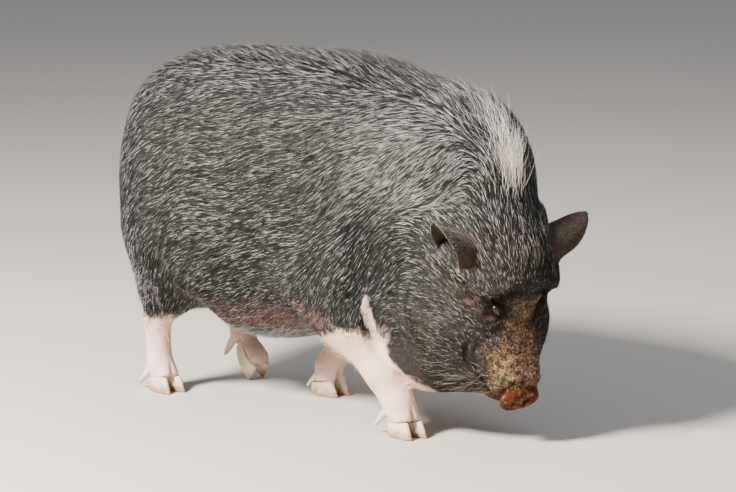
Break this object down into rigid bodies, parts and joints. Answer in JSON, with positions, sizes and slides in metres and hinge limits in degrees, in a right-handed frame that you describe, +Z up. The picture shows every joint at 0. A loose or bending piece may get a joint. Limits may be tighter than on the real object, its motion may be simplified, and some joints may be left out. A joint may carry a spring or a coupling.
{
  "type": "pot-bellied pig",
  "caption": "Life-size pot-bellied pig in a slow walk, its head lowered to sniff the ground and turned a little to the right.",
  "frame": {"origin": "on the floor, under the middle of the bounding box", "axes": "+X towards the snout, +Y to the animal's left, +Z up"},
  "size_m": [0.8576, 0.404, 0.5621],
  "materials": {
    "dark_skin": "coarse dark grey bristles over near-black skin",
    "pale_skin": "short white hair over pink skin",
    "ear": "thin, nearly bare dark skin",
    "snout": "moist bare skin, muddy",
    "horn": "pale hoof horn, satin",
    "eye": "wet dark eye"
  },
  "bodies": {
    "root": {"trunk": "dark_skin", "neck": "dark_skin", "head": "dark_skin", "jaw": "dark_skin", "tail": "dark_skin", "shoulder_right": "dark_skin", "shoulder_left": "dark_skin", "ham_right": "dark_skin", "ham_left": "dark_skin", "leg_fore_right": "pale_skin", "leg_fore_left": "pale_skin", "leg_hind_right": "pale_skin", "leg_hind_left": "pale_skin", "snout_plate": "snout", "ear_right": "ear", "eye_right": "eye", "ear_left": "ear", "eye_left": "eye", "hoof_fore_right_outer": "horn", "dewclaw_fore_right_outer": "horn", "hoof_fore_right_inner": "horn", "dewclaw_fore_right_inner": "horn", "hoof_fore_left_outer": "horn", "dewclaw_fore_left_outer": "horn", "hoof_fore_left_inner": "horn", "dewclaw_fore_left_inner": "horn", "hoof_hind_right_outer": "horn", "dewclaw_hind_right_outer": "horn", "hoof_hind_right_inner": "horn", "dewclaw_hind_right_inner": "horn", "hoof_hind_left_outer": "horn", "dewclaw_hind_left_outer": "horn", "hoof_hind_left_inner": "horn", "dewclaw_hind_left_inner": "horn"}
  },
  "joints": []
}
